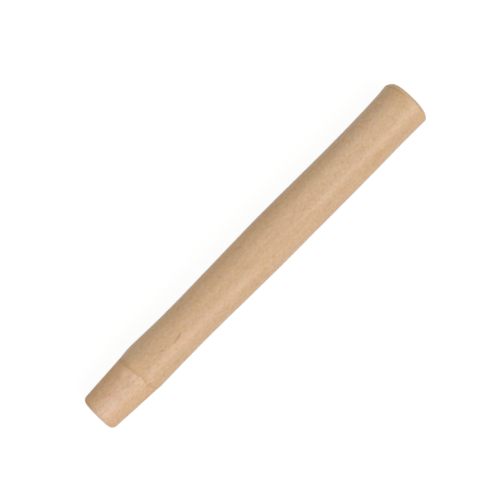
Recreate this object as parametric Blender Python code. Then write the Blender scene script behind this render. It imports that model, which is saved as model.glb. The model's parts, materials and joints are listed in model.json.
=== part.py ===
"""Bare handle for a club hammer, shaped from one billet of beech.

The handle lies along X on its wide side. The tapered tenon, which a hammer
head's oval eye is driven onto, points to -X and the flared butt to +X.
Lengths are in metres, and z = 0 is the surface that the handle lies on.
"""

import math
from typing import NamedTuple

import bmesh
import bpy

# Lengths along the handle, one after another from the tenon's tip to the butt
TENON_LENGTH = 0.0330
RAMP_LENGTH = 0.0080
SWELL_TO_NECK = 0.0290
NECK_TO_BELLY = 0.0800
BELLY_TO_WAIST = 0.0570
WAIST_TO_BUTT = 0.0530

# Width of the oval section across the wide side, along Y
TIP_WIDTH = 0.0243
TENON_ROOT_WIDTH = 0.0281
SWELL_WIDTH = 0.0291
NECK_WIDTH = 0.0280
BELLY_WIDTH = 0.0303
WAIST_WIDTH = 0.0300
BUTT_WIDTH = 0.0318

# Depth of the oval section between its flatter faces, along Z
TIP_DEPTH = 0.0205
TENON_ROOT_DEPTH = 0.0238
SWELL_DEPTH = 0.0262
NECK_DEPTH = 0.0249
BELLY_DEPTH = 0.0259
WAIST_DEPTH = 0.0257
BUTT_DEPTH = 0.0265

# Flat land along each of the two flatter faces, on which the handle lies still
LAND_WIDTH = 0.0052

# Sideways lean of the section's centre off the tenon's axis, along Y
SWELL_LEAN = 0.0002
WAIST_LEAN = -0.0003
BUTT_LEAN = 0.0005

# Growth of the width, the depth or the lean, per metre of handle, where it isn't level
RAMP_RISE = 0.28
SWELL_FALL = -0.055
BUTT_FLARE = 0.115
BUTT_SWING = 0.022

# Shoulder line, where the cut tenon ends: the grip stands proud of the tenon's faces
LIP_HEIGHT = 0.00025
LIP_RUN = 0.0003

# Rounded arrises of the two flat ends
TIP_ROUND = 0.0031
BUTT_ROUND = 0.0019

# Fineness of the surface
SIDE_STEPS = 20
RING_SPACING = 0.0055
STEPS_AT_LEAST = 3
ARRIS_STEPS = 6
SHARP_EDGE = math.radians(30)

WOOD_COLOUR = (0.61, 0.41, 0.255, 1.0)
WOOD_ROUGHNESS = 0.5


class Section(NamedTuple):
    """An oval section: its place from the tip, its size, its lean and the growth of these."""

    place: float
    width: float
    depth: float
    lean: float = 0.0
    spread: float = 0.0
    rise: float = 0.0
    swing: float = 0.0


def clear_scene():
    """Removes every object of the open scene."""
    for item in list(bpy.data.objects):
        bpy.data.objects.remove(item, do_unlink=True)


def grip_stations():
    """The sections that set the grip's outline, from the shoulder's lip to the butt."""
    lip_depth = TENON_ROOT_DEPTH + 2 * LIP_HEIGHT
    swell = TENON_LENGTH + RAMP_LENGTH
    neck = swell + SWELL_TO_NECK
    belly = neck + NECK_TO_BELLY
    waist = belly + BELLY_TO_WAIST
    butt = waist + WAIST_TO_BUTT
    return (
        Section(TENON_LENGTH + LIP_RUN, TENON_ROOT_WIDTH, lip_depth, 0.0, RAMP_RISE, RAMP_RISE),
        Section(swell, SWELL_WIDTH, SWELL_DEPTH, SWELL_LEAN, spread=SWELL_FALL),
        Section(neck, NECK_WIDTH, NECK_DEPTH),
        Section(belly, BELLY_WIDTH, BELLY_DEPTH),
        Section(waist, WAIST_WIDTH, WAIST_DEPTH, WAIST_LEAN),
        Section(butt, BUTT_WIDTH, BUTT_DEPTH, BUTT_LEAN, BUTT_FLARE, BUTT_FLARE, BUTT_SWING),
    )


def cubic(start, end, start_slope, end_slope, run, share):
    """The value at a share of the run, on the cubic with these ends and slopes."""
    rest = 1 - share
    ends = start * rest * rest * (1 + 2 * share) + end * share * share * (3 - 2 * share)
    return ends + run * share * rest * (start_slope * rest - end_slope * share)


def swept(first, second, share):
    """The section at a share of the way between two neighbours, on smooth curves."""
    run = second.place - first.place
    return Section(
        first.place + run * share,
        cubic(first.width, second.width, first.spread, second.spread, run, share),
        cubic(first.depth, second.depth, first.rise, second.rise, run, share),
        cubic(first.lean, second.lean, first.swing, second.swing, run, share),
    )


def tapered(first, second, share):
    """The section at a share of the way between two neighbours, on straight lines."""
    return Section(*(a + (b - a) * share for a, b in zip(first, second)))


def arris_gaps(radius):
    """Gaps from a flat end at even turns of its quarter round, from the end inwards."""
    turns = (0.5 * math.pi * step / ARRIS_STEPS for step in range(ARRIS_STEPS + 1))
    return [radius * (1 - math.cos(turn)) for turn in turns]


def rounded(section, gap, radius):
    """The section drawn in by a quarter round, at this gap from the flat end."""
    inset = radius - math.sqrt(radius**2 - (radius - gap) ** 2)
    return section._replace(width=section.width - 2 * inset, depth=section.depth - 2 * inset)


def tenon_rings():
    """Sections of the tenon, from its rounded tip to the shoulder line."""
    tip = Section(0.0, TIP_WIDTH, TIP_DEPTH)
    root = Section(TENON_LENGTH, TENON_ROOT_WIDTH, TENON_ROOT_DEPTH)
    arris = []
    for gap in arris_gaps(TIP_ROUND):
        arris.append(rounded(tapered(tip, root, gap / TENON_LENGTH), gap, TIP_ROUND))
    return arris + [root]


def grip_rings():
    """Sections of the grip, from the shoulder line to the rounded butt."""
    stations = grip_stations()
    rings = [stations[0]]
    for first, second in zip(stations, stations[1:]):
        run = second.place - first.place
        plain = 1 - BUTT_ROUND / run if second is stations[-1] else 1.0
        steps = max(STEPS_AT_LEAST, round(run / RING_SPACING))
        rings += [swept(first, second, plain * (step + 1) / steps) for step in range(steps)]
    waist, butt = stations[-2:]
    for gap in reversed(arris_gaps(BUTT_ROUND)[:-1]):
        share = 1 - gap / (butt.place - waist.place)
        rings.append(rounded(swept(waist, butt, share), gap, BUTT_ROUND))
    return rings


def oval(section):
    """Corners of a section across the handle: round one side from land to land, then the other."""
    land = math.asin(LAND_WIDTH / section.width)
    corners = []
    for side in (1, -1):
        for step in range(SIDE_STEPS + 1):
            turn = land + (math.pi - 2 * land) * step / SIDE_STEPS
            across = section.width / 2 * math.sin(turn)
            up = section.depth / 2 * math.cos(turn) / math.cos(land)
            corners.append((section.lean + side * across, side * up))
    return corners


def loft(name, rings):
    """Bridges one oval ring for each section and closes both ends flat."""
    middle = rings[-1].place / 2
    height = max(ring.depth for ring in rings) / 2
    shape = bmesh.new()
    loops = []
    for section in rings:
        spot = section.place - middle
        corners = [shape.verts.new((spot, across, height + up)) for across, up in oval(section)]
        loops.append([shape.edges.new(pair) for pair in zip(corners, corners[1:] + corners[:1])])
    for first, second in zip(loops, loops[1:]):
        bmesh.ops.bridge_loops(shape, edges=first + second)
    bmesh.ops.holes_fill(shape, edges=loops[0] + loops[-1], sides=len(loops[0]))
    bmesh.ops.recalc_face_normals(shape, faces=list(shape.faces))
    mesh = bpy.data.meshes.new(name)
    shape.to_mesh(mesh)
    shape.free()
    mesh.shade_smooth()
    mesh.set_sharp_from_angle(angle=SHARP_EDGE)
    return mesh


def wood():
    """Smooth sanded beech under a thin clear finish."""
    material = bpy.data.materials.new("beech")
    material.use_nodes = True
    shader = material.node_tree.nodes["Principled BSDF"]
    shader.inputs["Base Color"].default_value = WOOD_COLOUR
    shader.inputs["Roughness"].default_value = WOOD_ROUGHNESS
    shader.inputs["Metallic"].default_value = 0.0
    return material


def main():
    """Builds the handle in a collection of its own."""
    clear_scene()
    collection = bpy.data.collections.new("club_hammer_handle")
    bpy.context.scene.collection.children.link(collection)
    mesh = loft("handle", tenon_rings() + grip_rings())
    mesh.materials.append(wood())
    collection.objects.link(bpy.data.objects.new("handle", mesh))


main()
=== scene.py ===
"""Dresses the bare beech handle of a club hammer for its studio photograph.

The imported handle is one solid. One grid surface with the same outline takes its
place and adds what the solid leaves plain: the uneven line of the cut shoulder,
the creased and rubbed arris of the butt, the faint waves that a sanding belt
leaves, and solid beech with its growth rings, rays and fibres.
Lengths are in metres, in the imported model's frame.
"""

import json
import logging
import math
from dataclasses import dataclass, field
from enum import Enum

import bpy
import numpy as np
from mathutils import Matrix, Vector


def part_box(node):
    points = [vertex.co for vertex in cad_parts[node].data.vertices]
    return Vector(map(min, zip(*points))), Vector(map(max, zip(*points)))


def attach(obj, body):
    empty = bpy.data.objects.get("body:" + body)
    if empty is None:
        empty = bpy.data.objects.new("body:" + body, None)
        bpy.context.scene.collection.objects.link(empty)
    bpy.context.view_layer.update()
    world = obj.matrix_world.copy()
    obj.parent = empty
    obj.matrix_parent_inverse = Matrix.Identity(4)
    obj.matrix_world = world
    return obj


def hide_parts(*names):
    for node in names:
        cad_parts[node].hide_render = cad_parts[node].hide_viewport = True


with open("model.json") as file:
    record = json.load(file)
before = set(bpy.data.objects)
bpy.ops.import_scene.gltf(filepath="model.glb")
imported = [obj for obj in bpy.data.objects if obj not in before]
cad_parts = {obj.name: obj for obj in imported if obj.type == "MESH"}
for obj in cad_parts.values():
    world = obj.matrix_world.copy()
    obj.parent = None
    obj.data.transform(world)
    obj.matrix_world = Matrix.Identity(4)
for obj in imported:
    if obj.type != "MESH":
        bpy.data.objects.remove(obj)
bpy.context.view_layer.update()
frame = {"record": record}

LOG = logging.getLogger("handle")

Colour = tuple[float, float, float]
Size = tuple[float, float, float]
Socket = bpy.types.NodeSocket
Feed = Socket | float | tuple[float, ...]


class Surface(Enum):
    """The differently worked surfaces of the handle, by their material slot."""

    GRIP = 0
    TENON = 1
    SAWN_END = 2


class Landmark(Enum):
    """The places along the handle that its tone lines are measured from."""

    TIP = "tip"
    SHOULDER = "shoulder"
    BUTT = "butt"


def hermite(
    places: np.ndarray, knots: np.ndarray, values: np.ndarray, slopes: np.ndarray
) -> np.ndarray:
    """Values on the smooth curve through the knots.

    Between two knots the curve is the cubic with their values and their slopes:
    both ends' values weighted by 1 - 3t^2 + 2t^3 and its opposite, plus both
    slopes weighted by t(1 - t)^2 and -t^2(1 - t), times the run.

    Args:
        places: Where to work the curve out.
        knots: Rising places of the knots.
        values: The curve's value at each knot.
        slopes: The curve's slope at each knot.

    Returns:
        One value for each place.
    """
    left = np.clip(np.searchsorted(knots, places, side="right") - 1, 0, len(knots) - 2)
    run = knots[left + 1] - knots[left]
    share = (places - knots[left]) / run
    rest = 1 - share
    start = values[left] * rest**2 * (1 + 2 * share)
    end = values[left + 1] * share**2 * (3 - 2 * share)
    bend = slopes[left] * rest - slopes[left + 1] * share
    return start + end + run * share * rest * bend


def arris(size: float, crease: float, steps: int) -> tuple[np.ndarray, np.ndarray]:
    """The worked edge of a flat end, as an arc from the end face inwards.

    The arc's direction turns evenly from the crease angle off the end face to the
    crease angle off the side, so a crease of 0 is a plain quarter round.

    Args:
        size: How far the arc reaches along the handle, and in from its side.
        crease: Angle between the arc and each face that it meets, in radians.
        steps: Number of spans along the arc.

    Returns:
        The gap from the end face and the inset from the side, at each point.
    """
    turn = np.linspace(math.pi / 2 - crease, crease, steps + 1)
    span = math.cos(crease) - math.sin(crease)
    gap = size - size * (np.sin(turn) - math.sin(crease)) / span
    inset = size * (math.cos(crease) - np.cos(turn)) / span
    return gap, inset


def smooth(share: np.ndarray) -> np.ndarray:
    """A smooth step, 3t^2 - 2t^3, of a share that is held between 0 and 1."""
    held = np.clip(share, 0, 1)
    return held**2 * (3 - 2 * held)


@dataclass(frozen=True)
class Rows:
    """Oval rows along the handle: each one's place, full width, full depth and lean."""

    place: np.ndarray
    width: np.ndarray
    depth: np.ndarray
    lean: np.ndarray

    def part(self, which: slice) -> "Rows":
        """Some of the rows."""
        return Rows(*(value[which] for value in vars(self).values()))

    def drawn_in(self, inset: np.ndarray) -> "Rows":
        """The same rows, made smaller all round by an inset."""
        return Rows(self.place, self.width - 2 * inset, self.depth - 2 * inset, self.lean)

    def shrunk(self, share: np.ndarray) -> "Rows":
        """One row repeated, shrunk to each share of its size: the rings of a flat end."""
        level = np.ones_like(share)
        return Rows(self.place * level, self.width * share, self.depth * share, self.lean * level)

    @staticmethod
    def joined(*parts: "Rows") -> "Rows":
        """All the rows of several stretches, one after another."""
        columns = zip(*(vars(part).values() for part in parts))
        return Rows(*(np.concatenate(column) for column in columns))


@dataclass(frozen=True)
class Undulation:
    """One faint wave in the sanded surface: its length along, its count around, its height."""

    length: float
    around: int
    height: float
    phase: float


@dataclass(frozen=True)
class Shoulder:
    """The line where the cut tenon ends, which is a little out of square and wanders.

    A notch is a small pointed step towards the grip, at an angle round the oval.
    """

    lip_height: float = 0.00025
    lip_run: float = 0.0003
    tilt: float = 0.0012
    tilt_turn: float = math.radians(51)
    wander: float = 0.0003
    wander_count: int = 5
    notch_depth: float = 0.0012
    notch_angle: float = math.radians(105)
    notch_rise: float = math.radians(8)
    notch_fall: float = math.radians(26)
    warp_reach: float = 0.006

    def line(self, angle: np.ndarray) -> np.ndarray:
        """How far the line lies towards the butt.

        The tilt is a cosine of the angle past its turn, and the wander a small sine of
        several turns. The notch is a tent: 1 less the distance from its angle over the
        reach of its rising or its falling side, where above 0.

        Args:
            angle: Angle of each column round the oval.

        Returns:
            One distance for each column.
        """
        tilt = -self.tilt * np.cos(angle - self.tilt_turn)
        wander = self.wander * np.sin(self.wander_count * angle)
        away = angle - self.notch_angle
        reach = np.where(away < 0, self.notch_rise, self.notch_fall)
        tent = np.clip(1 - np.abs(away) / reach, 0, 1)
        return tilt + wander + self.notch_depth * tent

    def warp(self, past: np.ndarray, angle: np.ndarray) -> np.ndarray:
        """How far each point of the grid moves along the handle to follow the line.

        Args:
            past: Distance of each row past the shoulder, before it is moved.
            angle: Angle of each column round the oval.

        Returns:
            A grid of moves, whole at the shoulder and fading smoothly on both sides of it.
        """
        fade = smooth(1 - np.abs(past) / self.warp_reach)
        return fade[:, None] * self.line(angle)[None, :]


@dataclass
class Handle:
    """The one-piece handle: a tapered tenon, a shoulder and a swelling oval grip.

    Places run from the tenon's tip. Widths lie along Y and depths along Z.
    """

    length: float
    axis_height: float
    tenon_length: float = 0.0330
    ramp_length: float = 0.0080
    swell_to_neck: float = 0.0290
    neck_to_belly: float = 0.0800
    belly_to_waist: float = 0.0570
    tip_size: tuple[float, float] = (0.0243, 0.0205)
    root_size: tuple[float, float] = (0.0281, 0.0238)
    swell_size: tuple[float, float] = (0.0291, 0.0262)
    neck_size: tuple[float, float] = (0.0280, 0.0249)
    belly_size: tuple[float, float] = (0.0303, 0.0259)
    waist_size: tuple[float, float] = (0.0300, 0.0257)
    butt_size: tuple[float, float] = (0.0318, 0.0265)
    land_width: float = 0.0052
    land_sharpness: float = 50.0
    swell_lean: float = 0.0002
    waist_lean: float = -0.0003
    butt_lean: float = 0.0005
    ramp_rise: float = 0.28
    swell_fall: float = -0.055
    butt_flare: float = 0.115
    butt_swing: float = 0.022
    tip_round: float = 0.0031
    butt_arris: float = 0.0019
    butt_crease: float = math.radians(24)
    rubbed_reach: float = 1.05
    rubbed_inset: float = 0.32
    rubbed_fade: float = 0.0080
    arris_steps: int = 14
    cap_rings: int = 10
    columns: int = 168
    row_spacing: float = 0.0010
    sharp_edge: float = math.radians(17)
    shoulder: Shoulder = Shoulder()
    undulations: tuple[Undulation, ...] = (
        Undulation(0.0230, 3, 0.00003, 0.4),
        Undulation(0.0410, 2, 0.00005, 1.9),
        Undulation(0.0670, 5, 0.00003, 3.1),
        Undulation(0.0095, 7, 0.00001, 5.2),
    )

    def tenon_rows(self) -> Rows:
        """Rows of the tenon, on straight tapers.

        Returns:
            The rows from the rounded tip to the shoulder line.
        """
        gap, inset = arris(self.tip_round, 0.0, self.arris_steps)
        steps = round((self.tenon_length - self.tip_round) / self.row_spacing)
        plain = np.linspace(self.tip_round, self.tenon_length, steps + 1)[1:]
        place = np.concatenate([gap, plain])
        share = place / self.tenon_length
        width = self.tip_size[0] + (self.root_size[0] - self.tip_size[0]) * share
        depth = self.tip_size[1] + (self.root_size[1] - self.tip_size[1]) * share
        rows = Rows(place, width, depth, np.zeros_like(place))
        return rows.drawn_in(np.concatenate([inset, np.zeros_like(plain)]))

    def grip_outline(self, place: np.ndarray) -> Rows:
        """Rows of the grip before its arris is cut, on smooth curves through its named sections.

        Args:
            place: Where to work the rows out.

        Returns:
            One row for each place.
        """
        lip = (self.root_size[0], self.root_size[1] + 2 * self.shoulder.lip_height)
        sizes = np.array(
            [lip, self.swell_size, self.neck_size, self.belly_size, self.waist_size, self.butt_size]
        )
        runs = [self.ramp_length, self.swell_to_neck, self.neck_to_belly, self.belly_to_waist]
        knots = np.append(self.tenon_length + np.cumsum([0.0, *runs]), self.length)
        knots[0] += self.shoulder.lip_run
        spread = np.array([self.ramp_rise, self.swell_fall, 0.0, 0.0, 0.0, self.butt_flare])
        rise = np.array([self.ramp_rise, 0.0, 0.0, 0.0, 0.0, self.butt_flare])
        leans = np.array([0.0, self.swell_lean, 0.0, 0.0, self.waist_lean, self.butt_lean])
        swing = np.array([0.0, 0.0, 0.0, 0.0, 0.0, self.butt_swing])
        return Rows(
            place,
            hermite(place, knots, sizes[:, 0], spread),
            hermite(place, knots, sizes[:, 1], rise),
            hermite(place, knots, leans, swing),
        )

    def grip_rows(self) -> Rows:
        """Rows of the grip.

        Returns:
            The rows from the shoulder's lip to the creased arris of the butt.
        """
        start = self.tenon_length + self.shoulder.lip_run
        end = self.length - self.butt_arris
        steps = round((end - start) / self.row_spacing)
        plain = np.linspace(start, end, steps + 1)[:-1]
        gap, inset = arris(self.butt_arris, self.butt_crease, self.arris_steps)
        rows = self.grip_outline(np.concatenate([plain, self.length - gap[::-1]]))
        return rows.drawn_in(np.concatenate([np.zeros_like(plain), inset[::-1]]))

    def rows(self) -> tuple[Rows, np.ndarray]:
        """Every row from the middle of the tip's face to the middle of the butt's face.

        Returns:
            The rows, and the surface that the faces after each row belong to.
        """
        tenon = self.tenon_rows()
        grip = self.grip_rows()
        share = np.linspace(0, 1, self.cap_rings + 1)[:-1]
        tip = tenon.part(slice(0, 1)).shrunk(share)
        butt = grip.part(slice(-1, None)).shrunk(share[::-1])
        surface = np.concatenate(
            [
                np.full(len(share), Surface.SAWN_END.value),
                np.full(len(tenon.place) - 1, Surface.TENON.value),
                np.full(len(grip.place), Surface.GRIP.value),
                np.full(len(share), Surface.SAWN_END.value),
            ]
        )
        return Rows.joined(tip, tenon, grip, butt), surface

    def sanding(self, place: np.ndarray, angle: np.ndarray) -> np.ndarray:
        """How far the sanded surface lies inside the plain oval.

        Each undulation is a sine along the handle times a cosine round it, lifted
        so that its crest touches the oval.

        Args:
            place: Place of each row.
            angle: Angle of each column.

        Returns:
            A grid of depths below the oval, in metres.
        """
        depth = np.zeros((len(place), len(angle)))
        for wave in self.undulations:
            along = np.sin(2 * math.pi * place / wave.length + wave.phase)
            around = np.cos(wave.around * angle + wave.phase)
            depth += wave.height * (1 - along[:, None] * around[None, :]) / 2
        return depth

    def rubbing(self, place: np.ndarray, angle: np.ndarray) -> tuple[np.ndarray, np.ndarray]:
        """How much further the butt's arris reaches on its +Y side, where it is rubbed.

        Both moves go with the square of half of 1 plus the cosine of the angle. The
        move along the handle is a share of the gap from the end, which fades
        smoothly past the arris. The move inwards is a share of the arris's inset.

        Args:
            place: Place of each row.
            angle: Angle of each column.

        Returns:
            A grid of moves towards the tenon and a grid of moves inwards.
        """
        gap, inset = arris(self.butt_arris, self.butt_crease, self.arris_steps)
        from_end = self.length - place
        fade = smooth(1 - (from_end - self.butt_arris) / self.rubbed_fade)
        back = self.rubbed_reach * np.minimum(from_end, self.butt_arris) * fade
        inwards = self.rubbed_inset * np.interp(from_end, gap, inset)
        rubbed_side = ((1 + np.cos(angle)) / 2) ** 2
        return back[:, None] * rubbed_side, inwards[:, None] * rubbed_side

    def upright(self, width: np.ndarray, angle: np.ndarray) -> np.ndarray:
        """Each point's height off the axis, as a share of half the depth.

        It is the sine of the angle, raised so that the oval reaches the full depth
        at the land's edges, and held to that depth over the land by a soft minimum:
        minus the log of the sum of both values' negative exponentials. The result is
        stretched so that the middle of the land keeps the full depth.

        Args:
            width: Width of each row.
            angle: Angle of each column.

        Returns:
            A grid of shares, from -1 to 1.
        """
        narrowest = self.tip_size[0] - 2 * self.tip_round
        land = self.land_width / np.maximum(width, narrowest)
        middle = 1 / np.sqrt(1 - land**2)[:, None]
        sharpness = self.land_sharpness
        held = np.logaddexp(-sharpness * np.abs(np.sin(angle)) * middle, -sharpness)
        return np.sign(np.sin(angle)) * held / np.logaddexp(-sharpness * middle, -sharpness)

    def points(self, rows: Rows) -> np.ndarray:
        """The grid of points, one oval for each row.

        A point lies at its row's place, moved to follow the shoulder line and the
        rubbed butt, and on the oval y = lean + width / 2 cos(angle), z = height +
        depth / 2 upright share, drawn in by the sanding and the rubbing.

        Args:
            rows: The rows to work out.

        Returns:
            An array of rows by columns by 3.
        """
        angle = np.linspace(0, 2 * math.pi, self.columns, endpoint=False)
        past = rows.place - self.tenon_length
        back, inwards = self.rubbing(rows.place, angle)
        along = rows.place[:, None] - self.length / 2 + self.shoulder.warp(past, angle) - back
        whole = np.minimum(rows.width / self.tip_size[0], 1)[:, None]
        inset = (self.sanding(rows.place, angle) + inwards) * whole
        side = rows.lean[:, None] + (rows.width[:, None] / 2 - inset) * np.cos(angle)
        upright = self.upright(rows.width, angle)
        height = self.axis_height + (rows.depth[:, None] / 2 - inset) * upright
        return np.stack([along, side, height], axis=-1)

    def faces(self, row_count: int) -> list[list[int]]:
        """Corner numbers of every face, outwards, with one point for each end's middle.

        Args:
            row_count: Number of rows, both end middles included.

        Returns:
            A fan of triangles, the quads row after row, and another fan.
        """
        column = np.arange(self.columns)
        after = (column + 1) % self.columns
        first = 1 + np.arange(row_count - 3)[:, None] * self.columns
        second = first + self.columns
        quads = np.stack([first + column, first + after, second + after, second + column], axis=-1)
        last = 1 + (row_count - 2) * self.columns
        tip = np.stack([np.zeros_like(column), 1 + after, 1 + column], axis=-1)
        ring = last - self.columns
        butt = np.stack([ring + column, ring + after, np.full_like(column, last)], axis=-1)
        return tip.tolist() + quads.reshape(-1, 4).tolist() + butt.tolist()

    def build(self) -> bpy.types.Object:
        """Makes the handle's mesh, with its surfaces and the distance past the shoulder.

        Returns:
            The handle's object, at the origin.
        """
        rows, surface = self.rows()
        grid = self.points(rows)
        vertices = np.concatenate([grid[0, :1], grid[1:-1].reshape(-1, 3), grid[-1, :1]])
        mesh = bpy.data.meshes.new("handle_wood")
        mesh.from_pydata(vertices.tolist(), [], self.faces(len(rows.place)))
        slots = np.repeat(surface, self.columns).astype(np.int32)
        mesh.polygons.foreach_set("material_index", slots)
        # The first and the last row are one point each
        past = np.repeat(rows.place - self.tenon_length, self.columns)
        past = past[self.columns - 1 : len(past) - self.columns + 1]
        attribute = mesh.attributes.new("past_shoulder", "FLOAT", "POINT")
        attribute.data.foreach_set("value", past.astype(np.float32))
        mesh.shade_smooth()
        mesh.set_sharp_from_angle(angle=self.sharp_edge)
        piece = bpy.data.objects.new("handle_wood", mesh)
        bpy.context.scene.collection.objects.link(piece)
        return piece

    def landmarks(self) -> dict[Landmark, float]:
        """Each landmark's distance past the shoulder."""
        butt = self.length - self.tenon_length
        return {Landmark.TIP: -self.tenon_length, Landmark.SHOULDER: 0.0, Landmark.BUTT: butt}

    def dress(self, piece: bpy.types.Object, beech: "Beech") -> None:
        """Gives each surface of the handle its finish, in the order of Surface.

        Args:
            piece: The handle's object.
            beech: The wood.
        """
        finishes = {
            Surface.GRIP: GripFinish(landmarks=self.landmarks()),
            Surface.TENON: TenonFinish(landmarks=self.landmarks()),
            Surface.SAWN_END: SawnEndFinish(),
        }
        for surface in Surface:
            piece.data.materials.append(finishes[surface].material(beech))


class Sketch:
    """Adds shader nodes to one material and joins them up."""

    def __init__(self, name: str) -> None:
        """Starts a material with its shader alone.

        Args:
            name: The material's name.
        """
        self.material = bpy.data.materials.new(name)
        self.material.use_nodes = True
        self.tree = self.material.node_tree
        self.shader = self.tree.nodes["Principled BSDF"]

    def join(self, socket: Socket, value: Feed) -> None:
        """Links a socket to another one, or sets it to a plain value or an opaque colour.

        Args:
            socket: The socket to feed.
            value: What it gets.
        """
        if isinstance(value, Socket):
            self.tree.links.new(value, socket)
        elif socket.type == "RGBA":
            socket.default_value = (*value, 1.0)
        else:
            socket.default_value = value

    def node(self, kind: str, feeds: dict[str | int, Feed], **settings: object) -> bpy.types.Node:
        """Adds one node.

        Args:
            kind: The node's type.
            feeds: What goes into its sockets, by name or number.
            settings: Its own settings.

        Returns:
            The node.
        """
        node = self.tree.nodes.new(kind)
        for name, value in settings.items():
            setattr(node, name, value)
        for socket, value in feeds.items():
            self.join(node.inputs[socket], value)
        return node

    def maths(self, operation: str, *values: Feed) -> Socket:
        """One step of arithmetic."""
        node = self.node("ShaderNodeMath", dict(enumerate(values)), operation=operation)
        return node.outputs[0]

    def weighted(self, *terms: tuple[Socket, float]) -> Socket:
        """The sum of several values, each times its weight.

        Args:
            terms: Each value with its weight.

        Returns:
            The sum's socket.
        """
        total = 0.0
        for value, weight in terms:
            total = self.maths("MULTIPLY_ADD", value, weight, total)
        return total

    def waves(self, value: Feed, pitch: float) -> Socket:
        """A sine of the value, with one wave for each pitch."""
        return self.maths("SINE", self.maths("MULTIPLY", value, 2 * math.pi / pitch))

    def between(self, value: Feed, start: float, end: float) -> Socket:
        """A smooth step of a value.

        Args:
            value: The value.
            start: Where the step is 0.
            end: Where the step is 1.

        Returns:
            The step's socket.
        """
        feeds = {"Value": value, "From Min": start, "From Max": end}
        node = self.node("ShaderNodeMapRange", feeds, interpolation_type="SMOOTHSTEP")
        return node.outputs["Result"]

    def counted(self, vector: Feed, size: Size) -> Socket:
        """A vector counted in cells of a size.

        Args:
            vector: The vector, in metres.
            size: The cells' size along each axis.

        Returns:
            The count's socket.
        """
        scale = (1 / size[0], 1 / size[1], 1 / size[2])
        node = self.node("ShaderNodeVectorMath", {0: vector, 1: scale}, operation="MULTIPLY")
        return node.outputs[0]

    def mix(self, share: Feed, first: Feed, second: Feed) -> Socket:
        """A colour between two others."""
        node = self.node("ShaderNodeMix", {0: share, 6: first, 7: second}, data_type="RGBA")
        return node.outputs[2]

    def tint(self, share: Feed, colour: Feed, tint: Colour) -> Socket:
        """A colour seen through a share of a tinted filter.

        Args:
            share: Share of the filter, from 0 to 1.
            colour: The colour.
            tint: What the whole filter multiplies the colour by.

        Returns:
            The tinted colour's socket.
        """
        feeds = {0: share, 6: colour, 7: tint}
        node = self.node("ShaderNodeMix", feeds, data_type="RGBA", blend_type="MULTIPLY")
        return node.outputs[2]

    def bump(self, height: Feed, distance: float, strength: float) -> None:
        """Gives the shader fine relief.

        Args:
            height: Height of the relief, from 0 to 1.
            distance: Depth of the whole relief.
            strength: Share of the relief that shows.
        """
        feeds = {"Height": height, "Distance": distance, "Strength": strength}
        relief = self.node("ShaderNodeBump", feeds)
        self.join(self.shader.inputs["Normal"], relief.outputs["Normal"])


@dataclass(frozen=True)
class Pattern:
    """Smooth noise in the wood: the size of its cells, and how much finer detail it has."""

    size: Size
    detail: float = 2.0
    roughness: float = 0.6

    def at(self, sketch: Sketch, place: Feed) -> Socket:
        """The pattern's value at a place.

        Args:
            sketch: The material's nodes.
            place: Place in the handle.

        Returns:
            A socket that goes from 0 to 1.
        """
        feeds = {
            "Vector": sketch.counted(place, self.size),
            "Scale": 1.0,
            "Detail": self.detail,
            "Roughness": self.roughness,
        }
        return sketch.node("ShaderNodeTexNoise", feeds).outputs["Fac"]


@dataclass(frozen=True)
class Rays:
    """Thin blades of ray cells: their usual pitch along the pith, round it and out from it.

    A blade fills the core of a scattered cell, whole out to a share of the core.
    """

    pitch: Size
    core: float
    whole: float = 0.45

    def at(self, sketch: Sketch, round_pith: Feed) -> Socket:
        """Where the blades are.

        Args:
            sketch: The material's nodes.
            round_pith: Distance along the pith, arc round it and radius, as a vector.

        Returns:
            A socket that is 1 inside a blade and 0 outside.
        """
        feeds = {
            "Vector": sketch.counted(round_pith, self.pitch),
            "Scale": 1.0,
            "Randomness": 1.0,
        }
        cell = sketch.node("ShaderNodeTexVoronoi", feeds, distance="EUCLIDEAN")
        return sketch.between(cell.outputs["Distance"], self.core, self.core * self.whole)


@dataclass(frozen=True)
class Figure:
    """The figure of the wood at each point: the place and the patterns that finishes draw on."""

    coordinates: Socket
    along: Socket
    side: Socket
    height: Socket
    round_pith: Socket
    late_wood: Socket
    rays: Socket
    dark_rays: Socket
    fibres: Socket
    blush: Socket
    clouds: Socket
    mottle: Socket
    tone: Socket


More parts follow.
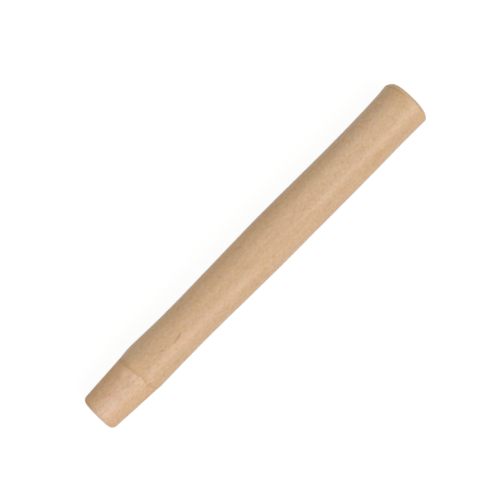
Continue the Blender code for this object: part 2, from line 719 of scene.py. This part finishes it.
@dataclass(frozen=True)
class Beech:
    """Solid beech round a pith line that lies off the handle, below it.

    Growth rings are circles round the pith, rays are thin blades that point at it,
    and fibres run along the handle with a slight run-out.
    """

    pith_side: float = 0.0090
    pith_height: float = -0.0560
    run_out: float = 0.011
    ring_spacing: float = 0.0026
    ring_wander: float = 0.0030
    late_start: float = 0.10
    late_peak: float = 0.80
    wander: Pattern = Pattern((0.0700, 0.0130, 0.0130), 1.0, 0.5)
    rays: Rays = Rays((0.0032, 0.0011, 0.0090), 0.42)
    dark_rays: Rays = Rays((0.0108, 0.0036, 0.0110), 0.16)
    fibres: Pattern = Pattern((0.0300, 0.00055, 0.00055), 3.0)
    blush: Pattern = Pattern((0.0052, 0.0029, 0.0029))
    clouds: Pattern = Pattern((0.0240, 0.0110, 0.0110), 2.0, 0.5)
    mottle: Pattern = Pattern((0.0019, 0.0016, 0.0016))
    tone: Pattern = Pattern((0.0043, 0.0026, 0.0026))

    def polar(
        self, sketch: Sketch, place: tuple[Socket, Socket, Socket], wander: Socket
    ) -> tuple[Socket, Socket]:
        """The arc round the pith and the radius from it.

        The radius is the root of the squares across and above the pith, plus the
        run-out along the handle and the wander. The arc is the angle between them,
        times the pith's depth.

        Args:
            sketch: The material's nodes.
            place: Place along the handle, across it and up.
            wander: Noise from 0 to 1 that bends the rings a little.

        Returns:
            The two values, in metres.
        """
        along, side, height = place
        across = sketch.maths("SUBTRACT", side, self.pith_side)
        above = sketch.maths("SUBTRACT", height, self.pith_height)
        squares = [sketch.maths("POWER", value, 2.0) for value in (across, above)]
        plain = sketch.maths("SQRT", sketch.maths("ADD", *squares))
        leaning = sketch.maths("MULTIPLY_ADD", along, self.run_out, plain)
        radius = sketch.maths("MULTIPLY_ADD", wander, self.ring_wander, leaning)
        turn = sketch.maths("ARCTAN2", across, above)
        return sketch.maths("MULTIPLY", turn, -self.pith_height), radius

    def late_wood(self, sketch: Sketch, radius: Socket) -> Socket:
        """The dark late wood of each growth ring.

        It darkens slowly over most of the ring and ends faster: two smooth steps of
        the fraction of radius over ring spacing, multiplied.

        Args:
            sketch: The material's nodes.
            radius: Distance from the pith.

        Returns:
            A socket that goes from 0 to 1.
        """
        ring = sketch.maths("FRACT", sketch.maths("DIVIDE", radius, self.ring_spacing))
        rise = sketch.between(ring, self.late_start, self.late_peak)
        return sketch.maths("MULTIPLY", rise, sketch.between(ring, 1.0, self.late_peak))

    def figure(self, sketch: Sketch) -> Figure:
        """Works the wood's figure out at each point.

        Args:
            sketch: The material's nodes.

        Returns:
            The figure's sockets.
        """
        coordinates = sketch.node("ShaderNodeTexCoord", {}).outputs["Object"]
        along, side, height = sketch.node("ShaderNodeSeparateXYZ", {0: coordinates}).outputs
        wander = self.wander.at(sketch, coordinates)
        arc, radius = self.polar(sketch, (along, side, height), wander)
        feeds = {"X": along, "Y": arc, "Z": radius}
        round_pith = sketch.node("ShaderNodeCombineXYZ", feeds).outputs[0]
        return Figure(
            coordinates=coordinates,
            along=along,
            side=side,
            height=height,
            round_pith=round_pith,
            late_wood=self.late_wood(sketch, radius),
            rays=self.rays.at(sketch, round_pith),
            dark_rays=self.dark_rays.at(sketch, round_pith),
            fibres=self.fibres.at(sketch, coordinates),
            blush=self.blush.at(sketch, coordinates),
            clouds=self.clouds.at(sketch, coordinates),
            mottle=self.mottle.at(sketch, coordinates),
            tone=self.tone.at(sketch, coordinates),
        )


@dataclass(frozen=True)
class Grain:
    """How the wood's patterns add up: each one's weight, and the palest and the deepest sum."""

    mottle: float
    fibres: float
    clouds: float
    late_wood: float
    palest: float
    deepest: float

    def share(self, sketch: Sketch, figure: Figure) -> Socket:
        """How deep the wood's colour is.

        Args:
            sketch: The material's nodes.
            figure: The wood's figure.

        Returns:
            A socket that is 0 in the palest wood and 1 in the deepest.
        """
        total = sketch.weighted(
            (figure.mottle, self.mottle),
            (figure.fibres, self.fibres),
            (figure.clouds, self.clouds),
            (figure.late_wood, self.late_wood),
        )
        return sketch.between(total, self.palest, self.deepest)


@dataclass(frozen=True)
class Wash:
    """A faint tint that comes in as a pattern goes from one value to another."""

    tint: Colour
    start: float
    end: float

    def over(self, sketch: Sketch, pattern: Socket, colour: Feed) -> Socket:
        """The colour, tinted where the pattern is high."""
        return sketch.tint(sketch.between(pattern, self.start, self.end), colour, self.tint)


@dataclass(frozen=True)
class Streak:
    """One tinted streak or patch, used both for marks in the wood and for painted light and shade:
    its middle on the upper face, its size, slant and tint.

    It is an ellipsoid round a middle at the height of the top, whole in its core.
    """

    along: float
    side: float
    length: float
    breadth: float
    slant: float = 0.0
    tint: Colour = (0.800, 0.670, 0.590)
    reach_down: float = 0.006
    top: float = 0.0255
    core: float = 0.2

    def over(self, sketch: Sketch, figure: Figure, colour: Feed) -> Socket:
        """The colour, tinted in the streak's core and less and less out to its edge.

        The tint's share is a smooth step of the distance from the streak's middle,
        as a share of the way to its edge.

        Args:
            sketch: The material's nodes.
            figure: The wood's figure.
            colour: The wood's colour.

        Returns:
            The tinted colour's socket.
        """
        feeds = {
            "Vector": figure.coordinates,
            "Location": (self.along, self.side, self.top),
            "Rotation": (0.0, 0.0, self.slant),
            "Scale": (self.length / 2, self.breadth / 2, self.reach_down),
        }
        mapping = sketch.node("ShaderNodeMapping", feeds, vector_type="TEXTURE")
        away = sketch.node("ShaderNodeVectorMath", {0: mapping.outputs[0]}, operation="LENGTH")
        share = sketch.between(away.outputs["Value"], 1.0, self.core)
        return sketch.tint(share, colour, self.tint)


@dataclass(frozen=True)
class ToneLine:
    """A soft line of another tone round the handle, at an offset past a landmark.

    Across the handle the line comes in between two sides, from its least share.
    """

    landmark: Landmark
    offset: float
    reach: float
    fade: tuple[float, float] = (-0.002, 0.005)
    least: float = 0.0
    tint: Colour = (0.900, 0.805, 0.640)

    def over(self, sketch: Sketch, figure: Figure, start: float, colour: Feed) -> Socket:
        """The colour, tinted on the line and less and less out to its reach.

        Args:
            sketch: The material's nodes.
            figure: The wood's figure.
            start: The landmark's distance past the shoulder.
            colour: The wood's colour.

        Returns:
            The tinted colour's socket.
        """
        attribute = sketch.node("ShaderNodeAttribute", {}, attribute_name="past_shoulder")
        past = sketch.maths("SUBTRACT", attribute.outputs["Fac"], start + self.offset)
        near = sketch.between(sketch.maths("ABSOLUTE", past), self.reach, 0.0)
        across = sketch.between(figure.side, *self.fade)
        strength = sketch.maths("MULTIPLY_ADD", across, 1 - self.least, self.least)
        return sketch.tint(sketch.maths("MULTIPLY", near, strength), colour, self.tint)


@dataclass(frozen=True)
class Finish:
    """A finish of the wood: what its colour is mixed from, its roughness and its fine relief."""

    title: str
    pale: Colour
    deep: Colour
    ray_tint: Colour
    roughness: float
    relief_depth: float
    relief_strength: float

    def colour(self, sketch: Sketch, figure: Figure) -> Socket:
        """The wood's colour, which each finish mixes in its own way."""
        raise NotImplementedError

    def relief(self, sketch: Sketch, figure: Figure) -> Socket:
        """The height of the fine relief, which follows the fibres."""
        return figure.fibres

    def material(self, beech: Beech) -> bpy.types.Material:
        """Makes the finish.

        Args:
            beech: The wood.

        Returns:
            The material.
        """
        sketch = Sketch(self.title)
        figure = beech.figure(sketch)
        sketch.join(sketch.shader.inputs["Base Color"], self.colour(sketch, figure))
        sketch.join(sketch.shader.inputs["Roughness"], self.roughness)
        sketch.bump(self.relief(sketch, figure), self.relief_depth, self.relief_strength)
        return sketch.material


@dataclass(frozen=True)
class FaceFinish(Finish):
    """Beech along the handle: its grain under soft washes, rays, tinted patches and tone lines,
    some of which are painted light and shade.
    """

    grain: Grain
    golden: Wash
    rosy: Wash
    lines: tuple[ToneLine, ...]
    streaks_and_painted_light: tuple[Streak, ...]
    landmarks: dict[Landmark, float] = field(kw_only=True)

    def pale_wood(self, sketch: Sketch, figure: Figure) -> Feed:
        """The palest wood's colour, which is the same all over."""
        return self.pale

    def colour(self, sketch: Sketch, figure: Figure) -> Socket:
        """The wood's colour.

        Args:
            sketch: The material's nodes.
            figure: The wood's figure.

        Returns:
            The colour's socket.
        """
        pale = self.pale_wood(sketch, figure)
        colour = sketch.mix(self.grain.share(sketch, figure), pale, self.deep)
        colour = self.golden.over(sketch, figure.tone, colour)
        colour = self.rosy.over(sketch, figure.blush, colour)
        colour = sketch.tint(figure.rays, colour, self.ray_tint)
        for streak in self.streaks_and_painted_light:
            colour = streak.over(sketch, figure, colour)
        for line in self.lines:
            colour = line.over(sketch, figure, self.landmarks[line.landmark], colour)
        return colour


@dataclass(frozen=True)
class SawnEndFinish(Finish):
    """End grain across both flat ends: darker, dull, with rings, rays, pores and saw lines.

    The arris tint darkens the edges that lead to it, as the fibres' ends begin there.
    """

    title: str = "beech_end_grain"
    pale: Colour = (0.640, 0.422, 0.262)
    deep: Colour = (0.470, 0.288, 0.165)
    arris_tint: Colour = (0.860, 0.820, 0.800)
    cloud_weight: float = 0.30
    ring_weight: float = 0.45
    pore_weight: float = 0.45
    palest: float = 0.15
    deepest: float = 0.95
    ring_sharpness: float = 2.0
    ray_tint: Colour = (1.070, 1.060, 1.050)
    rays: Rays = Rays((0.0200, 0.0008, 0.0050), 0.40)
    pores: Pattern = Pattern((0.0006, 0.00035, 0.00035))
    saw_pitch: float = 0.0009
    saw_lean: float = 0.35
    saw_share: float = 0.3
    roughness: float = 0.78
    relief_depth: float = 0.00006
    relief_strength: float = 0.5

    def colour(self, sketch: Sketch, figure: Figure) -> Socket:
        """The end grain's colour.

        Args:
            sketch: The material's nodes.
            figure: The wood's figure.

        Returns:
            The colour's socket.
        """
        rings = sketch.maths("POWER", figure.late_wood, self.ring_sharpness)
        pores = self.pores.at(sketch, figure.coordinates)
        grain = sketch.weighted(
            (figure.clouds, self.cloud_weight), (rings, self.ring_weight), (pores, self.pore_weight)
        )
        colour = sketch.mix(sketch.between(grain, self.palest, self.deepest), self.pale, self.deep)
        return sketch.tint(self.rays.at(sketch, figure.round_pith), colour, self.ray_tint)

    def relief(self, sketch: Sketch, figure: Figure) -> Socket:
        """The height of the saw's straight lines, a little off upright.

        Args:
            sketch: The material's nodes.
            figure: The wood's figure.

        Returns:
            The height's socket.
        """
        slope = sketch.weighted((figure.height, self.saw_lean), (figure.side, 1.0))
        lines = sketch.waves(slope, self.saw_pitch)
        return sketch.weighted((lines, self.saw_share), (figure.clouds, 1.0))


@dataclass(frozen=True)
class GripFinish(FaceFinish):
    """Sanded beech under a thin clear satin coat, with dark flecks."""

    title: str = "beech_grip_satin"
    pale: Colour = (0.725, 0.490, 0.300)
    deep: Colour = (0.610, 0.400, 0.226)
    grain: Grain = Grain(
        mottle=0.62, fibres=0.17, clouds=0.13, late_wood=0.05, palest=0.26, deepest=0.70
    )
    golden: Wash = Wash((0.990, 0.985, 0.850), 0.35, 0.65)
    rosy: Wash = Wash((1.000, 0.950, 0.960), 0.40, 0.62)
    ray_tint: Colour = (0.940, 0.910, 0.870)
    fleck_tint: Colour = (0.880, 0.840, 0.790)
    roughness: float = 0.45
    gloss: float = 0.75
    relief_depth: float = 0.00003
    relief_strength: float = 0.25
    lines: tuple[ToneLine, ...] = (
        ToneLine(Landmark.SHOULDER, 0.0004, 0.0022, fade=(-0.004, 0.010), least=0.5),
        ToneLine(Landmark.BUTT, -0.00228, 0.0009),
        # Painted highlight: a pale strip on the butt's rounded arris, just past its crease
        ToneLine(Landmark.BUTT, -0.00095, 0.0009, tint=(1.120, 1.080, 1.060)),
        # Painted sheen: a cool pale tint on the butt's rim, strongest on the -Y side
        ToneLine(Landmark.BUTT, -0.00076, 0.0012, (0.002, -0.004), tint=(1.010, 1.020, 1.100)),
        ToneLine(Landmark.BUTT, 0.0, 0.000475, least=1.0, tint=SawnEndFinish.arris_tint),
    )
    streaks_and_painted_light: tuple[Streak, ...] = (
        Streak(-0.0660, -0.0024, 0.0100, 0.0018, math.radians(11)),
        Streak(-0.0850, -0.0055, 0.0050, 0.0014, math.radians(6), (0.870, 0.780, 0.720)),
        Streak(-0.0775, -0.0013, 0.0028, 0.0011, math.radians(-50)),
        Streak(-0.0550, -0.0075, 0.1000, 0.0130, tint=(1.010, 0.960, 1.015)),
        # Painted sheen: a pale, whitened band along the upper face where the satin highlight runs
        Streak(0.0950, 0.0010, 0.2400, 0.0210, tint=(1.075, 1.100, 1.180), reach_down=0.012),
        Streak(0.0620, -0.0088, 0.0900, 0.0070, tint=(0.900, 0.875, 0.830)),
        Streak(0.1000, -0.0110, 0.0700, 0.0080, tint=(0.960, 0.935, 0.890), reach_down=0.012),
        Streak(0.1000, -0.0105, 0.0300, 0.0022, math.radians(-1), (0.930, 0.860, 0.800)),
        # Painted shade: a warmer, yellower tint over the +Y flank that faces away from the lamp
        Streak(0.0000, 0.0128, 0.3000, 0.0170, tint=(1.020, 0.985, 0.890), reach_down=0.030),
        Streak(0.1245, 0.0060, 0.0200, 0.0260, tint=(0.935, 0.920, 0.820), reach_down=0.015),
        # Painted shade: darkens the lit -Y half of the upper face to tone down the highlight there
        Streak(-0.0260, -0.0052, 0.1000, 0.0066, tint=(0.960, 0.920, 0.880)),
        Streak(0.0175, -0.0072, 0.0680, 0.0056, tint=(0.895, 0.825, 0.710), core=0.5),
        Streak(-0.0950, 0.0005, 0.0100, 0.0160, tint=(1.105, 1.070, 1.060)),
        Streak(-0.0945, -0.0105, 0.0080, 0.0060, tint=(1.100, 1.030, 1.030), reach_down=0.010),
        Streak(0.0913, -0.0096, 0.0110, 0.0028, math.radians(3), (1.000, 0.870, 0.730)),
        Streak(0.0950, -0.0106, 0.0060, 0.0018, math.radians(-5), (0.960, 0.840, 0.710)),
        Streak(0.0875, -0.0114, 0.0090, 0.0022, math.radians(2), (1.000, 0.870, 0.740), 0.010),
        Streak(0.0765, -0.0100, 0.0042, 0.0022, tint=(1.000, 0.860, 0.700)),
        # Painted reflection: a cool pale tint along the -Y flank, the pale floor's light seen in
        # the satin coat
        Streak(0.0200, -0.0148, 0.3400, 0.0090, tint=(1.020, 1.010, 1.080), reach_down=0.030),
    )

    def colour(self, sketch: Sketch, figure: Figure) -> Socket:
        """The wood's colour, with its dark flecks."""
        return sketch.tint(figure.dark_rays, super().colour(sketch, figure), self.fleck_tint)

    def material(self, beech: Beech) -> bpy.types.Material:
        """Makes the finish, with the coat's gloss.

        Args:
            beech: The wood.

        Returns:
            The material.
        """
        material = super().material(beech)
        shader = material.node_tree.nodes["Principled BSDF"]
        shader.inputs["Specular IOR Level"].default_value = self.gloss
        return material


@dataclass(frozen=True)
class TenonFinish(FaceFinish):
    """Bare beech as the cutter leaves it: rougher than the grip, and paler along its top."""

    title: str = "beech_tenon_bare"
    pale: Colour = (0.765, 0.510, 0.310)
    deep: Colour = (0.645, 0.412, 0.240)
    face_pale: Colour = (0.830, 0.595, 0.440)
    face_middle: float = -0.0020
    face_reach: float = 0.0090
    grain: Grain = Grain(
        mottle=0.54, fibres=0.38, clouds=0.0, late_wood=0.06, palest=0.25, deepest=0.80
    )
    golden: Wash = Wash((0.990, 0.985, 0.870), 0.40, 0.65)
    rosy: Wash = Wash((1.000, 0.935, 0.955), 0.40, 0.62)
    ray_tint: Colour = (0.930, 0.890, 0.850)
    cutter_pitch: float = 0.0011
    cutter_share: float = 0.2
    roughness: float = 0.62
    relief_depth: float = 0.00003
    relief_strength: float = 0.35
    lines: tuple[ToneLine, ...] = (
        ToneLine(Landmark.SHOULDER, 0.0, 0.0010, fade=(0.003, 0.010)),
        ToneLine(Landmark.TIP, 0.00124, 0.0010, (0.002, 0.009), tint=(0.930, 0.790, 0.560)),
        # Painted highlight: two pale lines lift the shade on the tip's rounded edge, on its -Y side
        # and at its +Y corner
        ToneLine(Landmark.TIP, 0.00062, 0.0012, (0.001, -0.006), tint=(1.080, 1.140, 1.220)),
        ToneLine(Landmark.TIP, 0.00031, 0.0008, (0.005, 0.009), tint=(1.080, 1.140, 1.200)),
        ToneLine(Landmark.TIP, 0.0, 0.000372, least=1.0, tint=SawnEndFinish.arris_tint),
    )
    streaks_and_painted_light: tuple[Streak, ...] = (
        Streak(-0.1195, -0.0030, 0.0012, 0.0060, tint=(0.940, 0.900, 0.870)),
        Streak(-0.1165, 0.0025, 0.0090, 0.0022, math.radians(-26), (0.930, 0.820, 0.690)),
        Streak(-0.1245, -0.0034, 0.0240, 0.0165, tint=(1.070, 1.090, 1.175)),
        Streak(-0.1262, -0.0024, 0.0140, 0.0017, tint=(0.920, 0.900, 0.880)),
        # Painted highlight: a pale, whitened band across the tip's rounded edge
        Streak(-0.1292, -0.0035, 0.0050, 0.0180, tint=(1.090, 1.110, 1.190), reach_down=0.014),
        Streak(-0.0988, -0.0030, 0.0070, 0.0170, tint=(1.100, 1.125, 1.160)),
        # Painted reflection: a cool pale tint along the tenon's -Y flank, the pale floor's light
        Streak(-0.1130, -0.0125, 0.0600, 0.0100, tint=(1.005, 1.020, 1.090), reach_down=0.020),
        Streak(-0.1005, 0.0055, 0.0110, 0.0080, tint=(1.100, 1.120, 1.160)),
        # Painted shade: a warmer tint over the tenon's +Y flank that faces away from the lamp
        Streak(-0.1130, 0.0110, 0.0600, 0.0140, tint=(1.010, 0.990, 0.910), reach_down=0.020),
    )

    def pale_wood(self, sketch: Sketch, figure: Figure) -> Feed:
        """The palest wood's colour, which is paler along the upper face.

        Args:
            sketch: The material's nodes.
            figure: The wood's figure.

        Returns:
            The colour's socket.
        """
        off_middle = sketch.maths("SUBTRACT", figure.side, self.face_middle)
        share = sketch.between(sketch.maths("ABSOLUTE", off_middle), self.face_reach, 0.0)
        return sketch.mix(share, self.pale, self.face_pale)

    def relief(self, sketch: Sketch, figure: Figure) -> Socket:
        """The height of the fibres and of the cutter's fine turns across them."""
        turns = sketch.waves(figure.along, self.cutter_pitch)
        return sketch.weighted((turns, self.cutter_share), (figure.fibres, 1.0))


@dataclass(frozen=True)
class PhotoCamera:
    """The camera of the photograph, worked out from the outline of the handle.

    Lengths in the picture are in pixels of its square frame.
    """

    picture_side: float = 500.0
    middle_across: float = 255.5
    middle_down: float = 255.6
    focal_length: float = 1280.0
    distance: float = 0.750
    azimuth: float = math.radians(-45.44)
    elevation: float = math.radians(83.3)
    sensor: float = 36.0

    def place(self, middle: Vector) -> bpy.types.Object:
        """Sets the camera so that the handle's middle shows at its place in the picture.

        Args:
            middle: The middle of the handle's axis.

        Returns:
            The camera.
        """
        right = Vector((math.cos(self.azimuth), math.sin(self.azimuth), 0.0))
        level = Vector((-math.sin(self.azimuth), math.cos(self.azimuth), 0.0))
        ahead = level * math.cos(self.elevation) - Vector((0.0, 0.0, math.sin(self.elevation)))
        up = right.cross(ahead)
        scale = self.distance / self.focal_length
        across = (self.middle_across - self.picture_side / 2) * scale
        down = (self.middle_down - self.picture_side / 2) * scale
        data = bpy.data.cameras.new("photo_camera")
        data.sensor_width = self.sensor
        data.lens = self.focal_length * self.sensor / self.picture_side
        camera = bpy.data.objects.new("photo_camera", data)
        turn = Matrix((right, up, -ahead)).transposed().to_4x4()
        spot = middle - ahead * self.distance - right * across + up * down
        camera.matrix_world = Matrix.Translation(spot) @ turn
        bpy.context.scene.collection.objects.link(camera)
        bpy.context.scene.camera = camera
        return camera


@dataclass(frozen=True)
class Studio:
    """A pale floor, a soft dome of light and one large soft lamp off to the handle's side."""

    dome_colour: tuple[float, float, float, float] = (1.0, 1.0, 1.0, 1.0)
    dome_strength: float = 0.55
    white: float = 1.0
    lamp_strength: float = 1.26
    lamp_lean: float = math.radians(41)
    lamp_spread: float = math.radians(45)
    floor_size: float = 6.0
    floor_drop: float = 0.00005
    floor_colour: tuple[float, float, float, float] = (0.50, 0.50, 0.50, 1.0)
    floor_glow: float = 1.22
    shadow_share: float = 0.25

    @staticmethod
    def seen(tree: bpy.types.NodeTree) -> Socket:
        """Tells the rays that show the background: from the camera, in gloss and through glass.

        Args:
            tree: The nodes to add to.

        Returns:
            A socket that is 1 for those rays and 0 for all others.
        """
        path = tree.nodes.new("ShaderNodeLightPath")
        total = path.outputs["Is Camera Ray"]
        for name in ("Is Glossy Ray", "Is Transmission Ray"):
            step = tree.nodes.new("ShaderNodeMath")
            step.operation = "MAXIMUM"
            tree.links.new(total, step.inputs[0])
            tree.links.new(path.outputs[name], step.inputs[1])
            total = step.outputs[0]
        return total

    def light_world(self) -> None:
        """Lights the scene from all round, with a white backdrop."""
        world = bpy.data.worlds.new("studio_dome")
        world.use_nodes = True
        tree = world.node_tree
        background = tree.nodes["Background"]
        background.inputs["Color"].default_value = self.dome_colour
        strength = tree.nodes.new("ShaderNodeMapRange")
        strength.inputs["To Min"].default_value = self.dome_strength
        strength.inputs["To Max"].default_value = self.white
        tree.links.new(self.seen(tree), strength.inputs["Value"])
        tree.links.new(strength.outputs["Result"], background.inputs["Strength"])
        bpy.context.scene.world = world

    def hang_lamp(self) -> None:
        """Hangs the soft lamp above the handle, leaning to its -Y side."""
        data = bpy.data.lights.new("soft_lamp", "SUN")
        data.energy = self.lamp_strength
        data.angle = self.lamp_spread
        lamp = bpy.data.objects.new("soft_lamp", data)
        lamp.rotation_euler = (self.lamp_lean, 0.0, 0.0)
        bpy.context.scene.collection.objects.link(lamp)

    def floor_material(self) -> bpy.types.Material:
        """A pale floor that shows as white, with the handle's shadow left in it.

        Returns:
            The material.
        """
        material = bpy.data.materials.new("pale_floor")
        material.use_nodes = True
        tree = material.node_tree
        tree.nodes.remove(tree.nodes["Principled BSDF"])
        plain = tree.nodes.new("ShaderNodeBsdfDiffuse")
        plain.inputs["Color"].default_value = self.floor_colour
        glow = tree.nodes.new("ShaderNodeEmission")
        glow.inputs["Strength"].default_value = self.floor_glow
        shown = tree.nodes.new("ShaderNodeMixShader")
        shown.inputs["Fac"].default_value = self.shadow_share
        tree.links.new(glow.outputs[0], shown.inputs[1])
        tree.links.new(plain.outputs[0], shown.inputs[2])
        choice = tree.nodes.new("ShaderNodeMixShader")
        tree.links.new(self.seen(tree), choice.inputs["Fac"])
        tree.links.new(plain.outputs[0], choice.inputs[1])
        tree.links.new(shown.outputs[0], choice.inputs[2])
        tree.links.new(choice.outputs[0], tree.nodes["Material Output"].inputs["Surface"])
        return material

    def lay_floor(self) -> bpy.types.Object:
        """Lays a flat floor just under the handle.

        Returns:
            The floor.
        """
        half = self.floor_size / 2
        corners = [(-half, -half), (half, -half), (half, half), (-half, half)]
        mesh = bpy.data.meshes.new("studio_floor")
        mesh.from_pydata([(x, y, -self.floor_drop) for x, y in corners], [], [[0, 1, 2, 3]])
        mesh.materials.append(self.floor_material())
        floor = bpy.data.objects.new("studio_floor", mesh)
        bpy.context.scene.collection.objects.link(floor)
        return floor

    def build(self) -> bpy.types.Object:
        """Sets up the light and the floor.

        Returns:
            The floor.
        """
        self.light_world()
        self.hang_lamp()
        bpy.context.scene.view_settings.view_transform = "Standard"
        return self.lay_floor()


def main() -> None:
    """Builds the handle, the studio and the camera, and reports each piece."""
    logging.basicConfig(level=logging.INFO, format="%(name)s: %(message)s")
    low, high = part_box("handle")
    mounts = {mount["name"]: Vector(mount["pos_m"]) for mount in frame["record"]["mounts"]}
    axis_height = mounts["tenon_end"].z
    handle = Handle(length=high[0] - low[0], axis_height=axis_height)
    piece = handle.build()
    handle.dress(piece, Beech())
    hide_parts("handle")
    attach(piece, "root")
    made = piece.data
    LOG.info("%s: %d faces, %d finishes", piece.name, len(made.polygons), len(made.materials))
    Studio().build()
    LOG.info("studio: floor, dome and one soft lamp")
    PhotoCamera().place(Vector((0.0, 0.0, axis_height)))
    LOG.info("camera: at the photograph's viewing angle")


if __name__ == "__main__":
    main()
